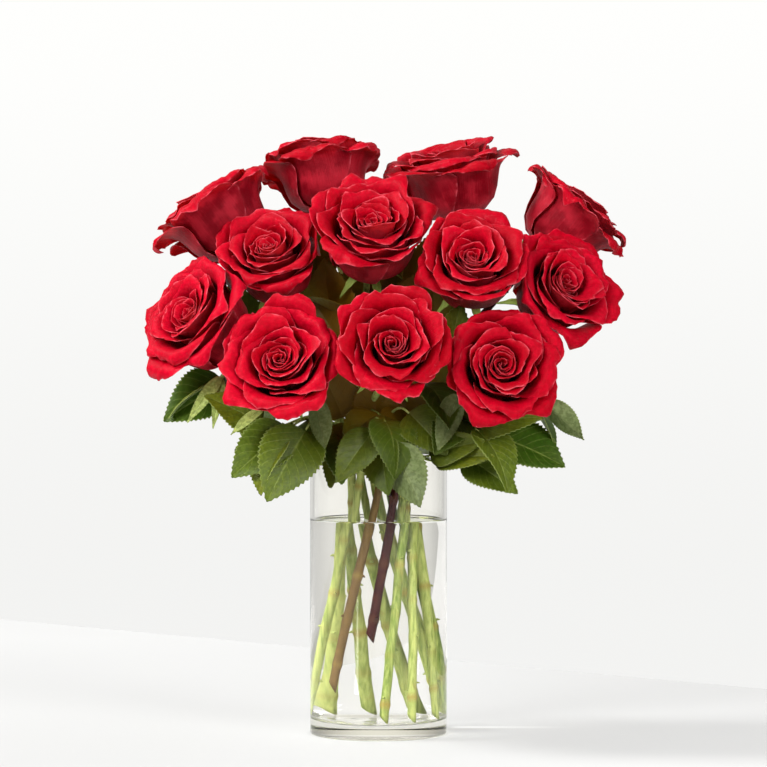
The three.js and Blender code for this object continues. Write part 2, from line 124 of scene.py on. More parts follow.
# The floor and the light. Each light: name, place, the height on the vase's axis that it faces, width, height
# and power. The strip lies low at the front left and faces up.
LIGHTS = (
    ("key", (-2.6, 0.12, 3.0), 0.22, 0.8, 0.8, 142),
    ("front_softbox", (-1.7, -2.0, 1.65), 0.25, 1.6, 1.2, 88),
    ("fill", (1.7, -2.0, 1.1), 0.25, 1.2, 1.2, 56),
)
STRIP_PLACE = (-0.44, -0.62, 0.003)
STRIP_TURN = 54.6
STRIP_POWER = 0.95
FLOOR_GLOW = 0.34
WORLD_FRONT = 0.16
WORLD_BACK = 0.50
WORLD_TOP = 0.15
WORLD_SIDES = 0.25
FLOOR_CORNERS = [
    (-3.0, -3.4, 0), (3.2, -3.4, 0), (3.2, -2.25, 0), (0.314, 0.282, 0), (-0.370, 0.883, 0), (-3.0, 3.19, 0),
]

# Each rose: opened, how far its petals fold out; light, how much lighter they are, a painted light that lifts
# the blooms that the lamps leave darker; bark, the look of its stem; its bloom's middle, facing (compass
# degrees from -Y, and rise), radius and turn about its axis; slot, the compass angle of its stem; waist, how
# far the stem passes from the vase's axis; bend, how long it keeps to the bloom's axis; foot, how far from
# the vase's axis its line meets the glass floor, and the height of its cut; and its leaves (place on the
# stem, facing, stalk, size, droop, roll, pairs). USUAL is what most of them share.
USUAL = dict(opened=1.0, light=0, bark="stem", waist=20, bend=0.3, foot=(41, 12.3))
ROSES = [USUAL | row for row in (
    dict(name="front_left", light=0.4, middle=(-69, -92, 274), facing=(-9, 25), radius=47, turn=10,
         slot=-52, leaves=[(0.55, (-36, -8), 48, 50, 45, 12, 1)]),
    dict(name="front_middle", opened=0.86, middle=(10, -112, 286), facing=(4, 22), radius=43, turn=60,
         slot=-24, leaves=[(0.5, (20, 0), 38, 50, 80, 0, 1), (0.3, (-10, 10), 34, 48, 62, 0, 0)]),
    dict(name="front_right", opened=0.94, middle=(87, -92, 271), facing=(9, 16), radius=44, turn=100,
         slot=0, bend=0.12, leaves=[(0.55, (46, -10), 50, 54, 50, 0, 1)]),
    dict(name="side_left", opened=1.1, light=0.8, middle=(-132, -50, 305), facing=(-50, 30),
         radius=48, turn=35, slot=-80, leaves=[(0.74, (-74, 6), 42, 52, 35, 0, 1)]),
    dict(name="middle_left", opened=1.06, middle=(-79, -36, 353), facing=(-15, 45), radius=43, turn=80,
         slot=-110, leaves=[(0.62, (-96, 25), 30, 50, 40, 0, 0)]),
    dict(name="middle", opened=0.8, middle=(-5, -50, 368), facing=(5, 45), radius=47, turn=15,
         slot=-69, waist=4, foot=(37, 12.3), leaves=[(0.62, (-45, 50), 26, 44, 10, 0, 1)]),
    dict(name="middle_right", opened=0.92, middle=(67, -68, 347), facing=(5, 36), radius=43, turn=130,
         slot=46, bend=0.12, leaves=[(0.42, (30, 10), 30, 48, 60, 0, 0)]),
    dict(name="side_right", opened=1.1, light=0.9, bark="brown_stem", middle=(134, -42, 328), facing=(34, 27),
         radius=44, turn=50, slot=92, bend=0.2, foot=(41, 34), leaves=[(0.5, (78, -10), 50, 52, 50, -6, 1)]),
    dict(name="back_left", opened=1.2, middle=(-122, 34, 384), facing=(-105, 54), radius=48, turn=5,
         slot=-142, leaves=[(0.4, (-122, 2), 46, 52, 50, 0, 1)]),
    dict(name="top_left", opened=1.28, middle=(-44, 58, 419), facing=(-150, 72), radius=47, turn=120,
         slot=-176, leaves=[(0.35, (-166, 0), 46, 48, 50, 0, 1)]),
    dict(name="top_right", opened=1.15, middle=(51, 52, 414), facing=(-60, 76), radius=50, turn=70,
         slot=156, leaves=[(0.3, (162, -4), 46, 48, 50, 0, 1)]),
    dict(name="back_right", opened=1.15, bark="red_stem", middle=(146, 32, 382), facing=(95, 48),
         radius=46, turn=90, slot=128, foot=(41, 71), leaves=[(0.25, (115, 12), 44, 48, 40, 0, 1)]),
)]

# Single leaflets that fill the bouquet, by the rose that each grows on: the place on its stem, the leaflet's
# base and tip, the way its upper side faces, its tone, its width and its droop. The narrow ones stand in for
# long sepals.
FRONT, BELOW, LEFT, RIGHT = (0, -1, .45), (.1, .8, .6), (-.6, -.8, .3), (.6, -.8, .3)
COLLAR = {
    "front_left": [
        (.30, (-65, -52, 224), (-103, -70, 192), FRONT, .35, .74, 22),
        (.22, (-52, -58, 224), (-78, -80, 176), FRONT, .45, .80, 18),
        (.62, (-46, -62, 246), (-38, -78, 213), BELOW, .50, .50, 10),
        (.80, (-82, -66, 240), (-104, -76, 222), (0, -1, .6), 1.6, .26, 30),
    ],
    "front_middle": [
        (.20, (-20, -40, 228), (-34, -52, 184), LEFT, .15, .66, 20),
        (.22, (-4, -66, 224), (-29, -80, 189), FRONT, .60, .62, 14),
        (.16, (2, -58, 219), (7, -70, 180), LEFT, .30, .86, 16),
        (.30, (8, -68, 213), (29, -82, 172), BELOW, .55, .74, 16),
    ],
    "middle_right": [
        (.16, (22, -54, 236), (48, -70, 208), FRONT, .70, .82, 20),
        (.50, (42, -14, 292), (38, -26, 334), (0, -1, -.2), .60, .66, 16),
        (.56, (30, 2, 318), (43, 0, 368), (0, -1, -.1), .55, .66, 12),
    ],
    "front_right": [
        (.16, (37, -58, 206), (74, -74, 217), FRONT, .75, .62, 22),
        (.20, (42, -54, 202), (81, -78, 206), RIGHT, .95, .52, 26),
        (.24, (62, -52, 205), (98, -66, 180), FRONT, .50, .66, 22),
        (.40, (56, -42, 226), (116, -60, 233), FRONT, .65, .52, 26),
        (.50, (57, -64, 250), (43, -78, 212), BELOW, .90, .44, 12),
        (.60, (48, -24, 264), (59, -34, 314), (0, -1, -.1), .65, .66, 12),
    ],
    "side_right": [
        (.24, (86, -22, 218), (133, -34, 197), RIGHT, .00, .78, 20),
        (.46, (120, -24, 242), (147, -34, 217), BELOW, .60, .56, 14),
        (.20, (48, -16, 232), (64, -30, 280), (0, -1, .1), .35, .74, 20),
    ],
    "side_left": [
        (.40, (-112, -12, 256), (-154, -22, 230), FRONT, .00, .78, 20),
        (.30, (-84, -44, 228), (-123, -60, 248), FRONT, .95, .66, 24),
        (.50, (-86, 2, 280), (-108, -2, 330), (0, -1, -.1), .35, .62, 12),
        (.86, (-113, -46, 262), (-136, -54, 230), (0, -1, .3), 1.6, .24, 30),
        (.84, (-112, -46, 260), (-118, -58, 226), (0, -1, .3), 1.6, .22, 30),
    ],
    "middle": [
        (.52, (-34, -8, 294), (-39, -24, 345), (0, -1, -.2), .75, .80, 16),
        (.42, (6, -10, 288), (30, -26, 336), (0, -1, -.2), .55, .70, 16),
        (.26, (-4, -24, 228), (4, -34, 270), (0, -1, .1), .80, .78, 20),
        (.20, (16, -22, 226), (26, -32, 266), (0, -1, .1), .25, .80, 20),
        (.50, (-26, -12, 284), (-50, -18, 321), (0, -1, -.1), .25, .70, 12),
        (.56, (-8, 2, 304), (-14, 0, 354), (0, -1, -.2), .55, .80, 12),
        (.58, (6, 4, 304), (17, 2, 354), (0, -1, -.2), .35, .80, 12),
    ],
    "middle_left": [
        (.40, (-62, -10, 268), (-74, -22, 312), (0, -1, -.2), .40, .66, 16),
        (.28, (-26, -22, 232), (-44, -30, 274), (0, -1, .1), .10, .80, 20),
        (.60, (-46, 8, 320), (-49, 4, 374), (0, -1, -.1), .45, .60, 12),
    ],
    "back_left": [
        (.20, (-60, 8, 214), (-104, 10, 206), (-.3, -.6, .8), .20, .72, 30),
        (.40, (-78, 20, 262), (-98, 32, 300), (0, .9, .2), .45, .70, 20),
    ],
    "back_right": [
        (.20, (60, 10, 214), (104, 16, 204), (.3, -.6, .8), .30, .72, 30),
        (.40, (84, 20, 262), (104, 34, 300), (0, .9, .2), .45, .70, 20),
    ],
    "top_left": [
        (.18, (-22, 44, 214), (-44, 84, 194), (-.2, .6, .8), .30, .74, 30),
        (.30, (-30, 20, 244), (-52, 30, 288), (0, .9, .2), .50, .74, 20),
    ],
    "top_right": [
        (.18, (22, 44, 214), (40, 86, 194), (.2, .6, .8), .40, .74, 30),
        (.30, (24, 20, 246), (40, 34, 290), (0, .9, .2), .35, .74, 20),
    ],
}


# Small helpers.

def direction(compass, rise):
    """The unit vector of a compass angle from -Y towards +X and a rise, in degrees."""
    c, r = math.radians(compass), math.radians(rise)
    return np.array([math.sin(c) * math.cos(r), -math.cos(c) * math.cos(r), math.sin(r)])


def unit(v):
    return v / np.maximum(np.linalg.norm(v, axis=-1, keepdims=True), 1e-12)


def mix(a, b, t):
    return a + (b - a) * t


def smooth_step(low, high, x):
    t = np.clip((x - low) / (high - low), 0, 1)
    return t * t * (3 - 2 * t)


def jitter(seed, place):
    """A number from -1 to 1 that is the same each run. place is a key, and each use of it has its own."""
    x = math.sin(seed * 12.9898 + place * 78.233) * 43758.5453
    return 2 * (x - math.floor(x)) - 1


def bezier(points, t):
    """The points of a Bezier curve at the numbers t, by de Casteljau's rule."""
    t = np.asarray(t, float)[:, None]
    level = [np.broadcast_to(np.asarray(p, float), (len(t), 3)) for p in points]
    while len(level) > 1:
        level = [mix(a, b, t) for a, b in zip(level, level[1:])]
    return level[0]


def new_object(name, data):
    """An object with this data, in the scene."""
    obj = bpy.data.objects.new(name, data)
    bpy.context.scene.collection.objects.link(obj)
    return obj


class Shape:
    """Gathers the vertices and faces of one mesh, with the marks that its materials read."""

    def __init__(self):
        self.points, self.faces, self.uvs, self.marks, self.kinds, self.count = [], [], [], [], [], 0

    def add(self, points, faces, uv, marks, kinds=0):
        """points n by 3 in mm; faces as a list of index arrays; uv n by 2; marks n by 4, as in MARKS; kinds
        is the number of the material, for all faces or for each one."""
        self.points.append(points)
        self.uvs.append(uv)
        self.marks.append(marks)
        for rows in faces:
            self.faces += (rows + self.count).tolist()
        self.kinds.append(np.broadcast_to(kinds, sum(len(rows) for rows in faces)))
        self.count += len(points)

    def build(self, name, materials):
        """The mesh object, in metres."""
        points = np.concatenate(self.points) * MM
        mesh = bpy.data.meshes.new(name)
        mesh.from_pydata(points.tolist(), [], self.faces)
        uv = np.concatenate(self.uvs)
        loops = np.zeros(len(mesh.loops), np.int32)
        mesh.loops.foreach_get("vertex_index", loops)
        layer = mesh.uv_layers.new(name="UVMap")
        layer.data.foreach_set("uv", uv[loops].astype(np.float32).ravel())
        marks = np.concatenate(self.marks)
        for i, label in enumerate(MARKS):
            attribute = mesh.attributes.new(label, "FLOAT", "POINT")
            attribute.data.foreach_set("value", marks[:, i].astype(np.float32))
        mesh.polygons.foreach_set("material_index", np.concatenate(self.kinds).astype(np.int32))
        mesh.polygons.foreach_set("use_smooth", np.ones(len(mesh.polygons), bool))
        mesh.update()
        for material in materials:
            mesh.materials.append(material)
        return new_object(name, mesh)


def grid_faces(rows, columns, wrap=False):
    """The quads of a grid of rows and columns, and its index array."""
    index = np.arange(rows * columns).reshape(rows, columns)
    if wrap:
        index = np.concatenate([index, index[:, :1]], 1)
    quads = np.stack([index[:-1, :-1], index[:-1, 1:], index[1:, 1:], index[1:, :-1]], -1)
    return quads.reshape(-1, 4), index


def cap_faces(index, count):
    """The triangles that close a wrapped grid's first and last row, at the last two of count points."""
    first, last = index[0], index[-1]
    start = np.full(len(first) - 1, count - 2)
    return [np.stack([start, first[1:], first[:-1]], -1), np.stack([start + 1, last[:-1], last[1:]], -1)]


def blade(shape, middle, thickness, uv, rim, tone, depth, kind=0):
    """Adds a thin blade: a grid of middle points, rows along it and columns across it, with a thickness."""
    rows, columns = middle.shape[:2]
    along = np.gradient(middle, axis=0)
    across = np.gradient(middle, axis=1)
    normal = unit(np.cross(across, along))
    half = normal * (thickness / 2)
    points = np.concatenate([(middle + half).reshape(-1, 3), (middle - half).reshape(-1, 3)])
    quads, index = grid_faces(rows, columns)
    count = rows * columns
    under = quads[:, ::-1] + count
    loop = np.concatenate([index[0, :-1], index[:-1, -1], index[-1, :0:-1], index[:0:-1, 0]])
    following = np.roll(loop, -1)
    edge = np.stack([following, loop, loop + count, following + count], -1)

    def on_both_sides(values):
        return np.tile(np.broadcast_to(values, (rows, columns)).reshape(-1), 2)

    back = np.repeat([1.0, 0.0], count)
    marks = np.stack([on_both_sides(rim), back, np.full(2 * count, tone), on_both_sides(depth)], -1)
    shape.add(points, [quads, under, edge], np.tile(uv.reshape(-1, 2), (2, 1)), marks, kind)


def tube(shape, path, radii, tone, sides=STEM_SIDES, kind=0, slant=0.0, depth=None, floor=None):
    """Adds a closed tube along a path. slant cuts its first end at an angle, as a stem is cut. No point is
    lower than floor."""
    path, radii = np.asarray(path, float), np.asarray(radii, float)
    tangents = unit(np.gradient(path, axis=0))
    side = unit(np.cross(tangents[0], [0.31, 0.95, 0.05]))
    rings = []
    angles = np.arange(sides) * 2 * math.pi / sides
    for i, (point, tangent, radius) in enumerate(zip(path, tangents, radii)):
        side = unit(side - tangent * (side @ tangent))
        other = np.cross(tangent, side)
        ring = point + radius * (np.cos(angles)[:, None] * side + np.sin(angles)[:, None] * other)
        if i == 0:
            ring += tangent * (slant * radius * np.cos(angles))[:, None]
        rings.append(ring)
    points = np.concatenate(rings + [path[:1], path[-1:]])
    if floor is not None:
        points[:, 2] = np.maximum(points[:, 2], floor)
    quads, index = grid_faces(len(path), sides, wrap=True)
    length = np.concatenate([[0], np.cumsum(np.linalg.norm(np.diff(path, axis=0), axis=1))])
    u = np.tile(np.arange(sides) / sides, len(path))
    uv = np.stack([u, np.repeat(length, sides) / 10], -1)
    uv = np.concatenate([uv, [[.5, 0], [.5, length[-1] / 10]]])
    marks = np.zeros((len(points), 4))
    marks[:, 2] = tone
    marks[:-2, 3] = np.repeat(np.zeros(len(path)) if depth is None else depth, sides)
    shape.add(points, [quads, *cap_faces(index, len(points))], uv, marks, kind)


# Blooms.

def frame_of(rose):
    """The base of a bloom, and its level, up and axis directions."""
    axis = direction(*rose["facing"])
    base = np.array(rose["middle"], float) - BLOOM_MIDDLE * axis
    level = unit(np.cross([0, 0, 1.0], axis))
    return base, level, np.cross(axis, level), axis


def placed(rose, points):
    """Points of the upright bloom, moved to where the rose is."""
    base, level, up, axis = frame_of(rose)
    return base + (points @ np.stack([level, up, axis])) * (rose["radius"] / BLOOM_RADIUS)


def pressed(rose, points):
    """The points, held back where a neighbouring bloom presses on this one."""
    middle = np.array(rose["middle"], float)
    for other in ROSES:
        between = np.subtract(other["middle"], middle)
        apart = np.linalg.norm(between)
        if not 0 < apart < NEIGHBOUR_DISTANCE:
            continue
        normal = between / apart
        share = rose["radius"] / (rose["radius"] + other["radius"])
        reach = apart * share - GAP - CAD_PETAL_THICKNESS / 2
        excess = ((points - middle) @ normal - reach) / PRESS_SOFTNESS
        points = points - normal * (np.logaddexp(0, excess) * PRESS_SOFTNESS)[..., None]
    return points


def petal_grid(petal):
    """The middle surface of one petal of an upright bloom, its uv and how near its rim each point is."""
    inner, phase = petal["bud"], petal["phase"]
    across, along = np.meshgrid(BUD_COLUMNS if inner else OUTER_COLUMNS, BUD_ROWS if inner else OUTER_ROWS)
    edge = np.abs(across)

    # The rim, as a share of the petal's length: round, pointed in the middle and torn.
    end = petal["tip"] * (1 - petal["round"] * edge ** 2.4)
    end += petal["point"] * np.exp(-(edge / 0.2) ** 2)
    torn = np.sin(7 * across + phase) + 0.8 * np.sin(15 * across + 3 * phase)
    torn += 0.6 * np.sin(27 * across + 5 * phase)
    end += petal["torn"] * torn
    upper = mix(SHOULDER, end, (along - SHOULDER) / (1 - SHOULDER))
    reach = np.where(along < SHOULDER, along, upper)

    # The course from the foot to the rim, by the angle from the bloom's axis in each step.
    s = reach[..., None] * (np.arange(CURVE_STEPS) + 0.5) / CURVE_STEPS
    roll = petal["roll"] + petal["curl"] * edge ** 2
    roll += petal["ruffle"] * 15 * np.sin(petal["waves"] * across + phase)
    roll += petal["crimp"] * 12 * np.sin(13 * across + 5 * phase)
    angle = (
        petal["leave"]
        + (petal["stand"] - petal["leave"]) * smooth_step(0, 0.44, s)
        + (roll[..., None] - petal["stand"]) * smooth_step(petal["rolls_from"], 1.1, s)
        + petal["lip"] * smooth_step(0.80, 1.04, s)
    )
    angle = np.radians(angle)
    step = petal["length"] * reach / CURVE_STEPS
    radius = petal["start"] + (np.sin(angle).sum(-1) * step)
    height = petal["height"] + (np.cos(angle).sum(-1) * step)
    width = petal["half_width"] * mix(0.1, 1, np.sin(math.pi / 2 * np.minimum(along / 0.75, 1)))
    turned = np.clip(across * width / np.maximum(radius, 4), -2.6, 2.6)

    # The waves, from the broad ones to the ruffle and the crimp of the rim, a dimple, and fine creases.
    wave = petal["wave"] * np.sin(2 * math.pi * across + phase) * along ** 3
    wave += 0.5 * petal["wave"] * np.sin(3.7 * math.pi * across + 2 * phase) * along ** 4
    wave += petal["ruffle"] * np.sin(petal["waves"] * 1.7 * across + 2 * phase) * along ** 6
    wave += petal["crimp"] * 0.5 * np.sin(11 * across + 7 * phase) * along ** 9
    wave += petal["dimple"] * np.exp(-(across / 0.35) ** 2) * smooth_step(.5, .8, along)
    x, y = across * width, along * petal["length"]
    crease = np.abs(np.sin(0.34 * x + 0.10 * y + phase)) + np.abs(np.sin(0.55 * x - 0.16 * y + 2 * phase))
    crease += 0.7 * np.sin(0.9 * x + 0.45 * y + 3 * phase) * np.sin(0.5 * y - phase)
    wave += petal["crumple"] * (crease - 1.2) * smooth_step(.45, .95, along)
    out = np.maximum(radius + petal["twist"] * turned + wave, 0.4)
    azimuth = petal["around"] + turned
    points = np.stack([out * np.cos(azimuth), out * np.sin(azimuth), height + 0.6 * wave], -1)

    to_top = (1 - along) * petal["length"]
    to_side = (1 - edge) * width
    rim = np.exp(-np.minimum(to_top, to_side) / RIM_FADE) * (0.5 if inner else 1)
    uv = np.stack([across * width / 30, reach], -1)
    return points, uv, rim, along


def petals_of(rose, seed):
    """The petals of a rose, the outer ones first: rings that each lie on one coil, then the bud's spiral."""
    found = []
    opened = rose["opened"]

    def add(place, around, values, **changes):
        def by_chance(key):
            return jitter(seed, place + key)

        petal = dict(zip(PETAL_VALUES, values), around=math.radians(around))
        loose = petal["loose"]
        petal.update(
            roll=petal["roll"] * opened,
            tip=0.965 + 0.035 * by_chance(40), round=0.24 + 0.05 * by_chance(50),
            point=0.10 * loose * (0.6 + 0.6 * by_chance(55)), wave=1.5 * loose,
            phase=3 * by_chance(160), curl=14 + loose * (56 + 36 * by_chance(170)), bud=loose < 0.4,
            torn=0.003 + 0.004 * loose, crumple=0.16 + 0.42 * loose,
            lip=opened * (18 + 62 * loose + 26 * by_chance(185)),
            ruffle=loose * (0.38 + 0.34 * by_chance(175)), waves=5 + 2 * by_chance(180),
            crimp=0.16 + 0.2 * loose, dimple=1.2 * loose * by_chance(190),
            # painted light: the rose's light value lifts the petals' tone on blooms that the lamps leave
            # darker.
            tone=0.5 + 0.5 * by_chance(210) + rose["light"],
        )
        found.append(petal | changes)

    folds_from = 0.55 - 0.4 * max(opened - 1, 0)
    guard_stand = 12 + 3 * jitter(seed, 80)
    for i in range(GUARD_PETALS):
        guard = (8, 1, 66.5 + 3 * jitter(seed, i + 90), 84, guard_stand, 104 + 24 * jitter(seed, i + 120),
                 folds_from, 28.5 + 2.5 * jitter(seed, i + 140), 3.2, 1.0)
        add(i, rose["turn"] + 360 / GUARD_PETALS * i + 6 * jitter(seed, i), guard,
            tip=0.96 + 0.04 * jitter(seed, i + 40), round=0.26, phase=3 * jitter(seed, i + 160))
    rings = (
        (5, 36, (6.5, 1.5, 61.5, 72, 9, 76, 0.58, 30, 2.7, 0.9)),
        (4, 10, (5, 2, 55, 50, 5, 46, 0.60, 28, 2.4, 0.7)),
        (3, 50, (4, 3, 51, 40, 3, 26, 0.60, 26, 2.2, 0.55)),
    )
    for ring, (count, turn, values) in enumerate(rings):
        for i in range(count):
            place = 300 + 20 * ring + i
            loosened = list(values)
            loosened[ROLL] += 22 * jitter(seed, place + 5)
            loosened[LENGTH] += 2.4 * jitter(seed, place + 7)
            loosened[HALF_WIDTH] += 2.5 * jitter(seed, place + 11)
            around = rose["turn"] + turn + 360 / count * i + 9 * jitter(seed, place)
            add(place, around, loosened)
    for i in range(BUD_PETALS):
        b = 1 - i / (BUD_PETALS - 1)
        place = 400 + i
        length = mix(36.5, 45, b) + 2.4 * jitter(seed, place + 7)
        roll = mix(-14, 18, b) + 14 * jitter(seed, place + 5)
        half_width = mix(7, 21, b) * (1 + 0.22 * jitter(seed, place + 9))
        values = (mix(0.8, 3.2, b), mix(6, 4, b), length, mix(10, 43, b), mix(-3, -1, b), roll, 0.66,
                  half_width, 0.8, 0.3)
        add(place, rose["turn"] + 40 + GOLDEN_ANGLE * i + 38 * jitter(seed, place), values)
    return found


def bloom(rose, seed, material):
    shape = Shape()
    for petal in petals_of(rose, seed):
        points, uv, rim, depth = petal_grid(petal)
        points = pressed(rose, placed(rose, points))
        blade(shape, points, PETAL_THICKNESS, uv, rim, petal["tone"], depth)
    piece = shape.build("petals_" + rose["name"], [material])
    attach(piece, "root")
    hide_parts("bloom_" + rose["name"])


# Stems, hips, sepals and leaves.

def stem_course(rose):
    """The foot of a stem, the curve that it takes above the waist, and the base and axis of its bloom."""
    outward, aside = direction(rose["slot"], 0), direction(rose["slot"] - 90, 0)
    waist = aside * rose["waist"] + np.array([0, 0, WAIST_HEIGHT])
    radius, height = rose["foot"]
    floor_foot = waist - outward * math.sqrt(radius ** 2 - rose["waist"] ** 2)
    floor_foot[2] = GLASS_BASE + GAP
    foot = mix(waist, floor_foot, (WAIST_HEIGHT - height) / (WAIST_HEIGHT - floor_foot[2]))
    base, _, _, axis = frame_of(rose)
    hip_foot = base - HIP_LENGTH * axis
    climb = unit(waist - floor_foot)
    span = np.linalg.norm(hip_foot - waist)
    bend = [waist, waist + climb * 0.42 * span, hip_foot - axis * rose["bend"] * span, hip_foot]
    return foot, bend, base, axis


def knots(length, seed):
    """The places along a stem where leaves once grew, in mm from its foot."""
    found, place = [], 22 + 10 * jitter(seed, 700)
    while place < length - 25:
        found.append(place)
        place += 36 + 12 * jitter(seed, 701 + len(found))
    return found


def stem(shape, rose, seed, tone):
    """A stem with knots and a short thorn at each, and the hip that carries the bloom."""
    foot, bend, base, axis = stem_course(rose)
    straight = mix(foot, bend[0], np.linspace(0, 1, 40)[:-1, None])
    path = np.concatenate([straight, bezier(bend, np.linspace(0, 1, 50))])
    length = np.concatenate([[0], np.cumsum(np.linalg.norm(np.diff(path, axis=0), axis=1))])
    radii = mix(STEM_FOOT_RADIUS, STEM_TOP_RADIUS, length / length[-1])
    marks = np.zeros(len(path))
    sway = unit(np.cross(unit(bend[0] - foot), [0, 0, 1.0]))
    bow = np.zeros(len(path))
    places = knots(length[-1], seed)
    for i, place in enumerate(places):
        radii *= 1 + KNOT_SWELL * np.exp(-((length - place) / KNOT_LENGTH) ** 2)
        marks = np.maximum(marks, np.exp(-((length - place) / (KNOT_LENGTH / 2)) ** 2))
        bow += KNOT_BEND * jitter(seed, 720 + i) * np.exp(-((length - place) / 16) ** 2)
    path = path + bow[:, None] * sway
    path = np.concatenate([path, [base + axis * h for h, _ in HIP_PROFILE]])
    radii[-1] = max(radii[-1], 3.0)
    radii = np.concatenate([radii, [r for _, r in HIP_PROFILE]])
    marks = np.concatenate([marks, np.zeros(len(HIP_PROFILE))])
    path[:2] = path[:2] + unit(path[1] - path[0]) * CUT_LIFT
    tube(shape, path, radii, tone, slant=CUT_SLANT, depth=marks, floor=GLASS_BASE + GAP)
    for i, place in enumerate(places):
        k = int(np.searchsorted(length, place))
        tangent = unit(path[k + 1] - path[k - 1])
        around = unit(np.cross(tangent, direction(137 * i + 60 * seed, 20)))
        start = path[k] + around * (radii[k] * 0.7)
        nub = [start, start + around * 1.6 + tangent * 0.5, start + around * 2.8 - tangent * 0.2]
        tube(shape, nub, [1.3, 0.9, 0.25], tone, sides=7)


def sepal(shape, rose, seed, order):
    """A narrow pointed blade that arches out from the hip and hangs back along the stem."""
    v, across = np.linspace(0, 1, 14), np.linspace(-1, 1, 7)
    around = 2 * math.pi * (order + 0.2 * jitter(seed, order + 200)) / SEPALS
    droop = 150 + 18 * jitter(seed, order + 220)
    steps = (np.arange(12) + 0.5) / 12
    angle = np.radians(mix(88, droop, np.minimum(1.6 * v[:, None] * steps, 1)))
    radius = 4.4 + (np.sin(angle).mean(-1) * v * SEPAL_LENGTH)
    height = -2.6 + (np.cos(angle).mean(-1) * v * SEPAL_LENGTH)
    half = SEPAL_WIDTH / 2 * np.where(v < 0.3, mix(0.5, 1, v / 0.3), mix(1, 0.06, (v - 0.3) / 0.7))
    half *= 1 + 0.22 * np.maximum(np.sin(v * 21 + order), 0) * (v > .25)
    middle = np.stack([radius * math.cos(around), radius * math.sin(around), height], -1)
    side = np.array([-math.sin(around), math.cos(around), 0])
    last = angle[:, -1]
    cup = np.stack([np.cos(last) * -math.cos(around), np.cos(last) * -math.sin(around), np.sin(last)], -1)
    points = middle[:, None] + side * (across[None, :, None] * half[:, None, None])
    points += cup[:, None] * (0.35 * (across ** 2)[None, :, None] * half[:, None, None])
    base, level, up, axis = frame_of(rose)
    points = base + points @ np.stack([level, up, axis])
    uv = np.stack(np.meshgrid(across, v), -1)
    rim = np.exp(-(1 - np.abs(across)) * 3)[None, :]
    blade(shape, points, SEPAL_THICKNESS, uv, rim, 0.5 + 0.5 * jitter(seed, order), v[:, None], kind=1)


def leaflet(shape, start, along, normal, size, droop, tone, wide=LEAFLET_SHAPE):
    """One toothed leaflet: it leaves start along a direction and bends away from its normal."""
    across = np.cross(along, normal)
    v = np.concatenate([[0, .02, .04], .05 + .93 * np.arange(2 * LEAF_TEETH) / (2 * LEAF_TEETH), [.985, 1]])
    tooth = np.concatenate([[0, 0, 0], np.tile([0, 1], LEAF_TEETH), [0, 0]])
    steps = (np.arange(8) + 0.5) / 8
    bent = np.radians(droop * v[:, None] * steps)
    reach = size * v
    ahead, down = np.cos(bent).mean(-1) * reach, np.sin(bent).mean(-1) * reach
    outline = 0.015 + 0.985 * (v / 0.37) ** 0.52 * (np.maximum(1 - v, 0) / 0.63) ** 1.08
    half = wide * size / 2 * outline
    edge = np.abs(LEAFLET_COLUMNS)
    outer = smooth_step(.7, 1, edge)[None, :]
    cut = (1 - tooth)[:, None] * outer
    width = half[:, None] * LEAFLET_COLUMNS[None, :] * (1 - TOOTH_DEPTH * cut)
    lean = (tooth[:, None] * outer) * size / LEAF_TEETH * 0.32
    middle = start + along * ahead[:, None] - normal * down[:, None]
    turned = unit(np.gradient(middle, axis=0))
    raised = np.cross(across, turned)
    raised *= np.sign((raised @ normal).sum())
    fold = LEAFLET_FOLD * np.abs(width)
    cup = 0.9 * np.sin(math.pi * edge)[None, :] * (half / half.max())[:, None]
    wave = 1.1 * np.sin(v * 7.0 + 6 * tone)[:, None] * (LEAFLET_COLUMNS * edge)[None, :]
    quilt = 0.28 * np.cos(2 * math.pi * (v[:, None] * 8 - edge[None, :] * 2.6))
    quilt *= np.sin(math.pi * edge)[None, :]
    points = middle[:, None] + across * width[..., None]
    points += turned[:, None] * lean[..., None]
    points += raised[:, None] * (fold + cup * 0.5 + wave + quilt)[..., None]
    uv = np.stack(np.meshgrid(LEAFLET_COLUMNS, v), -1)
    rim = np.exp(-(1 - edge) * 9)[None, :]
    blade(shape, points, LEAF_THICKNESS, uv, rim, tone, v[:, None])


def leaf(shape, rose, seed, order, spec):
    """A compound leaf: its stalk, a leaflet at the end and a pair at the sides."""
    at, facing, stalk, size, droop, roll, pairs = spec
    _, bend, _, _ = stem_course(rose)
    start = bezier(bend, [at])[0]
    out = direction(*facing)
    arch = [start, start + out * 0.55 * stalk, start + out * stalk + np.array([0, 0, -0.2 * stalk])]
    course = bezier(arch, np.linspace(0, 1, 12))
    tube(shape, course, np.interp(np.linspace(0, 1, 12), [0, .33, .66, 1], [1.6, 1.15, 1, .8]),
         0.5 + 0.4 * jitter(seed, order + 500), sides=8, kind=1)
    end = bezier(arch, [0.94, 0.97])
    heading = unit(end[1] - end[0])
    level = unit(np.cross([0, 0, 1.0], heading))
    lean = math.radians(roll)
    level = level * math.cos(lean) + np.cross(heading, level) * math.sin(lean)
    normal = np.cross(heading, level)
    tone = 0.5 + 0.5 * jitter(seed, 510 + order)
    leaflet(shape, end[1], heading, normal, size, droop, tone)
    if not pairs:
        return
    place = bezier(arch, [SIDE_LEAFLET_PLACE])[0]
    for sign in (-1, 1):
        turn = math.radians(SIDE_LEAFLET_ANGLE) * sign
        along = heading * math.cos(turn) + level * math.sin(turn)
        leaflet(shape, place, unit(along), normal, size * SIDE_LEAFLET_SIZE, droop,
                0.5 + 0.5 * jitter(seed, 520 + order + 3 * sign))


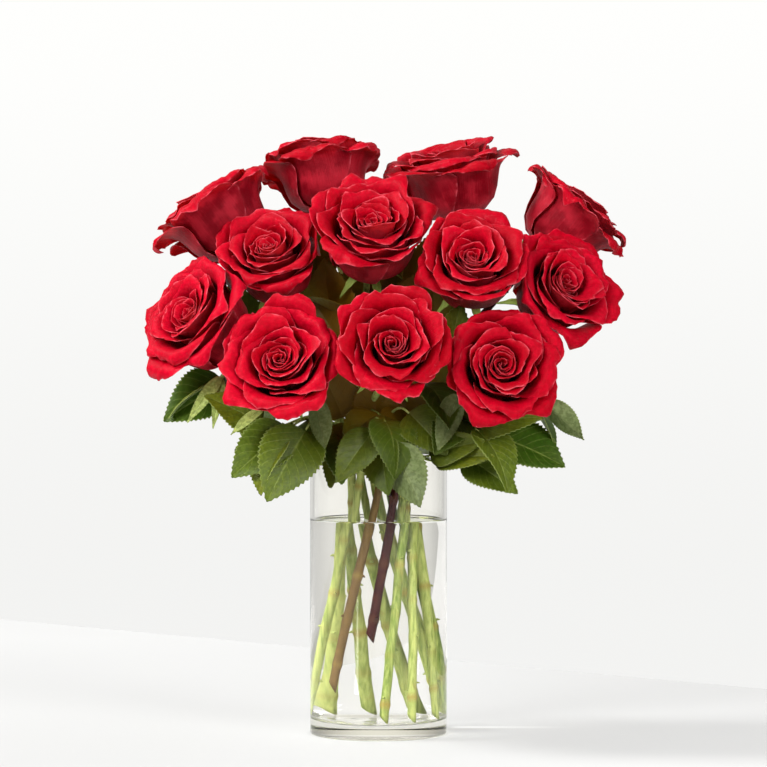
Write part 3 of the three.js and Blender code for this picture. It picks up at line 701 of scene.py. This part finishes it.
def collar_leaf(shape, rose, spec, seed):
    """A single leaflet from a base to a tip, on a stalk from the stem."""
    at, base, tip, faces, tone, wide, droop = spec
    base, tip = np.array(base, float), np.array(tip, float)
    _, bend, _, _ = stem_course(rose)
    start, ahead = bezier(bend, [at, at + 0.02])
    heading = unit(tip - base)
    climb = unit(ahead - start)
    reach = np.linalg.norm(base - start)
    arch = [start, start + (climb + unit(base - start)) * 0.3 * reach, base - heading * 0.3 * reach, base]
    course = bezier(arch, np.linspace(0, 1, 14))
    tube(shape, course, np.linspace(1.3, 0.8, 14), 0.5 + 0.4 * jitter(seed, 530), sides=7, kind=1)
    normal = np.array(faces, float)
    normal = unit(normal - heading * (normal @ heading))
    lift = math.radians(droop * 0.5)
    along = unit(heading * math.cos(lift) + normal * math.sin(lift))
    normal = unit(normal - along * (normal @ along))
    size = np.linalg.norm(tip - base) * 1.04
    leaflet(shape, base, along, normal, size, droop, tone, wide)


def foliage(rose, seed, looks):
    """The two pieces that replace a rose's stem: the stem with its sepals, and the leaves."""
    stalk = Shape()
    stem(stalk, rose, seed, 0.5 + 0.5 * jitter(seed, 600))
    for order in range(SEPALS):
        sepal(stalk, rose, seed, order)
    piece = stalk.build("stalk_" + rose["name"], [looks[rose["bark"]], looks["sepal"]])
    leaves = Shape()
    for order, spec in enumerate(rose["leaves"]):
        leaf(leaves, rose, seed, order, spec)
    for spec in COLLAR[rose["name"]]:
        collar_leaf(leaves, rose, spec, seed)
    leafy = leaves.build("leaves_" + rose["name"], [looks["leaf"], looks["stem"]])
    for made in (piece, leafy):
        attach(made, "root")
        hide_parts("stem_" + rose["name"])


# The vase and the water.

def arc(centre, radius, start, end, steps):
    angles = np.radians(np.linspace(start, end, steps))
    return [(centre[0] + radius * math.cos(a), centre[1] + radius * math.sin(a)) for a in angles]


def lathe(name, section, materials, edges):
    """A closed body of revolution from a section of (radius, height), which starts and ends on the axis.

    edges holds the bands of the section, as (first, last) numbers, that have the second material.
    """
    section = np.array(section, float)
    ring = section[1:-1]
    angles = np.arange(LATHE_SIDES) * 2 * math.pi / LATHE_SIDES
    radii, heights = ring[:, :1], np.broadcast_to(ring[:, 1:], (len(ring), LATHE_SIDES))
    points = np.stack([radii * np.cos(angles), radii * np.sin(angles), heights], -1).reshape(-1, 3)
    points = np.concatenate([points, [[0, 0, section[0, 1]], [0, 0, section[-1, 1]]]])
    quads, index = grid_faces(len(ring), LATHE_SIDES, wrap=True)
    kinds = np.zeros(len(ring) - 1, int)
    for low, high in edges:
        kinds[low:high] = 1
    kinds = np.concatenate([np.repeat(kinds, LATHE_SIDES), np.zeros(2 * LATHE_SIDES, int)])
    shape = Shape()
    faces = [quads, *cap_faces(index, len(points))]
    shape.add(points, faces, np.zeros((len(points), 2)), np.zeros((len(points), 4)), kinds)
    return shape.build(name, materials)


def vase(looks):
    """The glass and the water, which laps into the glass so that no gap shows between them."""
    inner = VASE_RADIUS - GLASS
    section = [(0, 1.8), (20, 1.7), (40, 0.8), (47.5, 0.0)]
    section += arc((VASE_RADIUS - 1.5, 1.5), 1.5, -88, 0, 8)
    section += [(VASE_RADIUS, h) for h in np.linspace(8, VASE_HEIGHT - 4, 24)]
    section += arc((VASE_RADIUS - GLASS / 2, VASE_HEIGHT - GLASS / 2), GLASS / 2, 0, 180, 12)
    section += [(inner, h) for h in np.linspace(VASE_HEIGHT - 5, GLASS_BASE + 4.5, 24)]
    section += arc((inner - 4, GLASS_BASE + 4), 4, 0, -86, 8)
    section += [(r, GLASS_BASE - d) for r, d in FLOOR_DISH]
    # painted shade: the foot and the inner floor's edge take the darker glass_edge tint, drawing dark lines.
    foot = (0, 11)
    ring = (len(section) - 5, len(section) - 4)
    piece = lathe("glass_cylinder", section, [looks["glass"], looks["glass_edge"]], [foot, ring])
    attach(piece, "root")
    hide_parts("vase")
    wet = inner + WATER_LAP
    section = [(r, GLASS_BASE - d - WATER_LAP) for r, d in reversed(FLOOR_DISH)]
    section += arc((inner - 4, GLASS_BASE + 4), 4 + WATER_LAP, -86, 0, 8)
    section += [(wet, h) for h in np.linspace(GLASS_BASE + 5, WATER_LEVEL, 20)]
    section += [(wet - inwards, WATER_LEVEL + rise) for inwards, rise in MENISCUS]
    section += [(r, WATER_LEVEL) for r in (30, 12, 0)]
    # painted shade: the meniscus band takes the darker water_edge tint, which draws the dark water line.
    meniscus = (len(section) - 10, len(section) - 6)
    piece = lathe("vase_water", section, [looks["water"], looks["water_edge"]], [meniscus])
    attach(piece, "root")
    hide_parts("water")


# Materials.

class Look:
    """The nodes of a material or a world, and short ways to write them."""

    def __init__(self, owner):
        self.owner = owner
        owner.use_nodes = True
        self.tree = owner.node_tree
        self.tree.nodes.clear()

    def node(self, kind, inputs=None, **settings):
        made = self.tree.nodes.new(kind)
        for key, value in settings.items():
            setattr(made, key, value)
        for key, value in (inputs or {}).items():
            if isinstance(value, bpy.types.NodeSocket):
                self.tree.links.new(value, made.inputs[key])
            else:
                made.inputs[key].default_value = value
        return made

    def math(self, operation, *values, clamp=False):
        made = self.node("ShaderNodeMath", dict(enumerate(values)), operation=operation)
        made.use_clamp = clamp
        return made.outputs[0]

    def plus(self, a, b):
        return self.math("ADD", a, b)

    def times(self, a, b):
        return self.math("MULTIPLY", a, b)

    def weighted(self, *pairs):
        """The sum of values, each times its weight."""
        total, *others = [self.times(*pair) for pair in pairs]
        for part in others:
            total = self.plus(total, part)
        return total

    def stretched(self, *pairs):
        """The vector of three values, each times a number."""
        return self.join(*[self.times(*pair) for pair in pairs])

    def blend(self, factor, a, b):
        inputs = {0: factor, 6: a, 7: b}
        return self.node("ShaderNodeMix", inputs, data_type="RGBA").outputs[2]

    def mark(self, name):
        return self.node("ShaderNodeAttribute", attribute_name=name).outputs["Fac"]

    def noise(self, vector, scale, detail=3, roughness=0.5):
        inputs = {"Vector": vector, "Scale": scale, "Detail": detail, "Roughness": roughness}
        return self.node("ShaderNodeTexNoise", inputs).outputs["Fac"]

    def fit(self, value, low, high, to_low=0.0, to_high=1.0):
        inputs = {"Value": value, "From Min": low, "From Max": high, "To Min": to_low, "To Max": to_high}
        return self.node("ShaderNodeMapRange", inputs, interpolation_type="SMOOTHSTEP").outputs["Result"]

    def place(self, kind="Object"):
        return self.node("ShaderNodeTexCoord").outputs[kind]

    def split(self, vector):
        return self.node("ShaderNodeSeparateXYZ", {0: vector}).outputs

    def distance(self, x, y):
        return self.math("SQRT", self.plus(self.math("POWER", x, 2.0), self.math("POWER", y, 2.0)))

    def join(self, x, y, z):
        return self.node("ShaderNodeCombineXYZ", {0: x, 1: y, 2: z}).outputs[0]

    def bump(self, height, strength, distance):
        inputs = {"Height": height, "Strength": strength, "Distance": distance}
        return self.node("ShaderNodeBump", inputs).outputs["Normal"]

    def shader(self, **inputs):
        named = {key.replace("_", " "): value for key, value in inputs.items()}
        return self.node("ShaderNodeBsdfPrincipled", named).outputs["BSDF"]

    def mixed(self, factor, a, b):
        return self.node("ShaderNodeMixShader", {0: factor, 1: a, 2: b}).outputs[0]

    def background(self, colour, strength):
        return self.node("ShaderNodeBackground", {"Color": colour, "Strength": strength}).outputs[0]

    def end(self, surface):
        self.node("ShaderNodeOutputMaterial", {"Surface": surface})
        return self.owner


def material_look(name):
    return Look(bpy.data.materials.new(name))


def petal_look():
    """A deep red that a painted shade darkens to the foot, a duller back with a painted sheen near its tips,
    and rims lightened by a painted highlight.
    """
    look = material_look("rose_petal")
    rim, back, tone, depth = (look.mark(m) for m in MARKS)
    uv = look.split(look.place("UV"))
    streaks = look.noise(look.stretched((uv[0], 26), (uv[1], 2.2), (tone, 9)), 1.6, 4, .6)
    clouds = look.noise(look.place(), 70, 3)
    shade = look.weighted((streaks, .6), (tone, .4))
    inside = look.blend(shade, (0.36, 0.0005, 0.0050, 1), (0.73, 0.0018, 0.0270, 1))
    grain = look.noise(look.place(), 300, 3, .6)
    inside = look.blend(look.fit(grain, .40, .64, .38, 0), inside, (0.26, 0.0004, 0.0040, 1))
    # painted shade: the petals darken towards their foot, where the recesses of the bloom lie in shade.
    inside = look.blend(look.fit(depth, .50, .93, .85, 0), inside, (0.16, 0.0003, 0.0020, 1))
    patchy = look.weighted((clouds, .78), (streaks, .22))
    outside = look.blend(look.fit(patchy, .40, .62), (0.25, 0.0030, 0.0110, 1), (0.52, 0.0170, 0.0350, 1))
    # painted sheen: the backs of the petals turn pink towards their tips, as where light grazes them.
    outside = look.blend(look.fit(depth, .70, 1.0, 0, .45), outside, (0.52, 0.055, 0.070, 1))
    colour = look.blend(back, inside, outside)
    # painted highlight: the rims are lightened to pale pink in patches, where light catches them.
    patches = look.noise(look.place(), 150, 2)
    lit = look.times(rim, look.fit(patches, .42, .60, .06, .85))
    colour = look.blend(lit, colour, (0.93, 0.16, 0.21, 1))
    veins = look.noise(look.stretched((uv[0], 60), (uv[1], 4), (tone, 5)), 1.5, 2, .5)
    height = look.weighted((streaks, .7), (clouds, .9), (veins, .5), (grain, .55))
    normal = look.bump(height, .65, .001)
    body = look.shader(Base_Color=colour, Roughness=0.37, Specular_IOR_Level=0.12, Sheen_Weight=0.02,
                       Specular_Tint=(1, .45, .52, 1), Sheen_Roughness=0.4, Sheen_Tint=(1, .30, .38, 1),
                       Normal=normal)
    through = look.node("ShaderNodeBsdfTranslucent", {"Color": (0.95, 0.003, 0.014, 1)}).outputs[0]
    return look.end(look.mixed(0.32, body, through))


def leaf_look():
    """Green with lighter veins, and a painted shade, darker and browner, near the vase's axis."""
    look = material_look("rose_leaf")
    rim, back, tone = (look.mark(m) for m in MARKS[:3])
    uv = look.split(look.place("UV"))
    edge = look.math("ABSOLUTE", uv[0])
    course = look.math("SUBTRACT", look.times(uv[1], 8), look.times(edge, 2.6))
    side = look.math("PINGPONG", look.plus(course, 0.5), 0.5)
    vein = look.fit(side, 0.42, 0.5)
    rib = look.fit(edge, 0.0, 0.06, 1, 0)
    veins = look.math("MAXIMUM", look.times(vein, .55), rib)
    clouds = look.noise(look.place(), 55, 4)
    fine = look.noise(look.place(), 420, 3)
    top = look.blend(tone, (0.036, 0.096, 0.004, 1), (0.208, 0.228, 0.012, 1))
    top = look.blend(look.fit(clouds, .3, .75, 0, .6), top, (0.112, 0.170, 0.018, 1))
    top = look.blend(look.times(veins, .6), top, (0.34, 0.42, 0.09, 1))
    top = look.blend(look.fit(tone, 1.0, 1.6), top, (0.52, 0.62, 0.17, 1))
    under = look.blend(look.fit(clouds, .3, .7), (0.26, 0.34, 0.12, 1), (0.36, 0.44, 0.18, 1))
    under = look.blend(look.times(veins, .5), under, (0.50, 0.56, 0.24, 1))
    colour = look.blend(back, under, top)
    colour = look.blend(look.fit(fine, .38, .62, .42, 0), colour, (0.030, 0.052, 0.004, 1))
    line = look.times(look.math("POWER", rim, 4.0), .55)
    colour = look.blend(line, colour, (0.34, 0.40, 0.10, 1))
    where = look.split(look.place())
    radius = look.distance(where[0], where[1])
    # painted shade: leaves in the middle of the bouquet, near the vase's axis, are darkened as if in shade.
    colour = look.blend(look.fit(radius, 0.086, 0.118, .5, 0), colour, (0.020, 0.028, 0.002, 1))
    # painted shade: the nearest leaves take a brown tint, standing in for shade lit by red light from the
    # petals.
    shaded = look.fit(radius, 0.038, 0.072, .85, 0)
    colour = look.blend(shaded, colour, (0.175, 0.078, 0.002, 1))
    height = look.math("SUBTRACT", look.times(fine, .6), veins)
    normal = look.bump(height, .5, .0005)
    rough = look.plus(.34, look.times(fine, .14))
    body = look.shader(Base_Color=colour, Roughness=rough, Specular_IOR_Level=0.18, Normal=normal)
    through = look.node("ShaderNodeBsdfTranslucent", {"Color": (0.25, 0.40, 0.01, 1)}).outputs[0]
    return look.end(look.mixed(0.16, body, through))


def stem_look(name, low, high, knot):
    """Lengthwise streaks between two colours, with a third at the knots."""
    look = material_look(name)
    tone, mark = look.mark("tone"), look.mark("depth")
    place = look.split(look.place())
    stripes = look.noise(look.stretched((place[0], 620), (place[1], 620), (place[2], 20)), 1.0, 3)
    clouds = look.noise(look.place(), 60, 3)
    shade = look.weighted((stripes, .7), (tone, .3))
    colour = look.blend(look.fit(shade, .18, .82), low, high)
    colour = look.blend(look.fit(clouds, .55, .8, 0, .5), colour, knot)
    colour = look.blend(look.times(mark, .7), colour, knot)
    normal = look.bump(stripes, .3, .0004)
    body = look.shader(Base_Color=colour, Roughness=0.5, Specular_IOR_Level=0.05, Normal=normal)
    return look.end(body)


def clear_look(name, ior, tint, clear):
    """Glass or water, which lets light through to what it shades, dimmed to the colour clear."""
    look = material_look(name)
    body = look.shader(Base_Color=tint, Roughness=0.0, IOR=ior, Transmission_Weight=1.0,
                       Specular_Tint=(.35, .35, .35, 1))
    passing = look.node("ShaderNodeBsdfTransparent", {"Color": clear}).outputs[0]
    shadow = look.node("ShaderNodeLightPath").outputs["Is Shadow Ray"]
    return look.end(look.mixed(shadow, body, passing))


# The stage.

def camera():
    data = bpy.data.cameras.new("photo_camera")
    data.lens = FOCAL_PIXELS / PHOTO_SIDE * SENSOR_WIDTH
    data.sensor_width = SENSOR_WIDTH
    data.clip_start, data.clip_end = 0.1, 50
    obj = new_object("photo_camera", data)
    obj.location = CAMERA_PLACE
    obj.rotation_euler = (math.radians(90 - CAMERA_TILT), 0, 0)
    bpy.context.scene.camera = obj


def area_light(name, place, rotation, width, height, power):
    data = bpy.data.lights.new(name, "AREA")
    data.shape = "RECTANGLE"
    data.size, data.size_y = width, height
    data.energy = power
    obj = new_object(name, data)
    obj.location = place
    obj.rotation_euler = rotation


def world():
    """White to the camera. As light it is bright behind and above the vase, and darker in front and aside."""
    made = bpy.data.worlds.new("studio")
    bpy.context.scene.world = made
    look = Look(made)
    way = look.split(look.place("Generated"))
    back = look.fit(way[1], -0.1, 0.9, WORLD_FRONT, WORLD_BACK)
    light = look.plus(back, look.fit(way[2], 0.0, 1.0, 0.0, WORLD_TOP))
    sideways = look.math("ABSOLUTE", way[0])
    aside = look.fit(sideways, 0.60, 0.92, 1.0, WORLD_SIDES)
    light = look.times(light, aside)
    seen = look.fit(way[2], -0.09, 0.09, 0.90, 1.0)
    ray = look.node("ShaderNodeLightPath").outputs
    glass_ray = look.math("SUBTRACT", ray["Is Transmission Ray"], ray["Is Diffuse Ray"], clamp=True)
    lamp = look.background((1, 1, 1, 1), light)
    flags = look.math("MAXIMUM", look.fit(sideways, 0.0, 1.05, 1.0, 0.30), look.fit(sideways, 0.92, 0.98))
    passed = look.times(look.times(seen, flags), look.fit(way[1], -.5, .5, .55, 1.0))
    glassy = look.background((1, .992, .945, 1), passed)
    plain = look.background((1, 1, .985, 1), seen)
    mixed = look.mixed(ray["Is Camera Ray"], look.mixed(glass_ray, lamp, glassy), plain)
    look.node("ShaderNodeOutputWorld", {"Surface": mixed})


def stage():
    """The floor, which has a weak glow of its own with painted light and shadow in it, the world and the
    lights.
    """
    mesh = bpy.data.meshes.new("floor")
    mesh.from_pydata(FLOOR_CORNERS, [], [tuple(range(len(FLOOR_CORNERS)))])
    floor = new_object("floor", mesh)
    look = material_look("studio_floor")
    clouds = look.noise(look.place(), 3, 2)
    colour = look.blend(clouds, (0.37, 0.37, 0.365, 1), (0.39, 0.39, 0.385, 1))
    across, deep, _ = look.split(look.place())
    # painted light: a bright streak on the floor beside the vase, standing in for light that the glass
    # focuses.
    streak = look.fit(look.math("ABSOLUTE", look.math("SUBTRACT", deep, 0.033)), 0, 0.011, 1, 0)
    streak = look.times(streak, look.fit(across, 0.048, 0.062))
    streak = look.times(streak, look.fit(across, 0.062, 0.150, 1, 0))
    # painted light: the glow grows from left to right, making up for the lamps' falloff across the floor.
    glow = look.plus(look.fit(across, -0.35, 0.35, -0.045, 0.035), look.times(streak, 0.3))
    # painted light: the glow grows towards the back on the left side of the floor.
    rise = look.times(look.math("SUBTRACT", deep, 0.2), 0.2)
    rise = look.times(look.math("MINIMUM", rise, 0.1), look.fit(across, -0.25, 0.15, 1, 0.25))
    glow = look.plus(look.plus(glow, rise), FLOOR_GLOW)
    # painted shadow: the glow is cut under the vase, darkening the floor there as a contact shadow.
    glow = look.times(glow, look.fit(look.distance(across, deep), 0.044, 0.054, .1, 1))
    mesh.materials.append(look.end(look.shader(
        Base_Color=colour, Roughness=0.55, Specular_IOR_Level=0.1,
        Emission_Color=(1, 1, .985, 1), Emission_Strength=glow,
    )))
    world()
    for name, place, aim, width, height, power in LIGHTS:
        facing = (Vector((0, 0, aim)) - Vector(place)).to_track_quat("-Z", "Y").to_euler()
        area_light(name, place, facing, width, height, power)
    area_light("low_strip", STRIP_PLACE, (math.pi, 0, math.radians(STRIP_TURN)), 0.9, 0.045, STRIP_POWER)
    scene = bpy.context.scene
    scene.view_settings.view_transform = "Standard"
    scene.view_settings.look = "None"
    scene.cycles.max_bounces = 24
    scene.cycles.transmission_bounces = 20
    scene.cycles.transparent_max_bounces = 24
    scene.cycles.diffuse_bounces = 4
    scene.cycles.glossy_bounces = 8
    scene.cycles.use_denoising = True


camera()
looks = {
    "petal": petal_look(),
    "leaf": leaf_look(),
    "stem": stem_look("rose_stem", (0.080, 0.145, 0.010, 1), (0.50, 0.545, 0.175, 1), (0.30, 0.19, 0.04, 1)),
    "brown_stem": stem_look("rose_stem_brown", (0.045, 0.026, 0.009, 1), (0.145, 0.088, 0.030, 1),
                            (0.24, 0.17, 0.05, 1)),
    "red_stem": stem_look("rose_stem_red", (0.022, 0.003, 0.003, 1), (0.066, 0.010, 0.008, 1),
                          (0.13, 0.06, 0.02, 1)),
    "sepal": stem_look("rose_sepal", (0.20, 0.32, 0.04, 1), (0.40, 0.50, 0.13, 1), (0.24, 0.34, 0.07, 1)),
    "glass": clear_look("vase_glass", 1.5, (1, .996, .982, 1), (0.80, 0.80, 0.795, 1)),
    # painted shade: a darker tint that draws dark lines at the glass's foot and inner floor edge.
    "glass_edge": clear_look("vase_glass_edge", 1.5, (.80, .78, .69, 1), (0.80, 0.80, 0.79, 1)),
    # painted shade: a darker tint that draws the dark water line at the meniscus.
    "water_edge": clear_look("clear_water_edge", 1.333, (.60, .58, .46, 1), (0.80, 0.80, 0.79, 1)),
    "water": clear_look("clear_water", 1.333, (1, 1, 1, 1), (0.86, 0.86, 0.85, 1)),
}
for number, rose in enumerate(ROSES):
    bloom(rose, number, looks["petal"])
    foliage(rose, number, looks)
vase(looks)
stage()
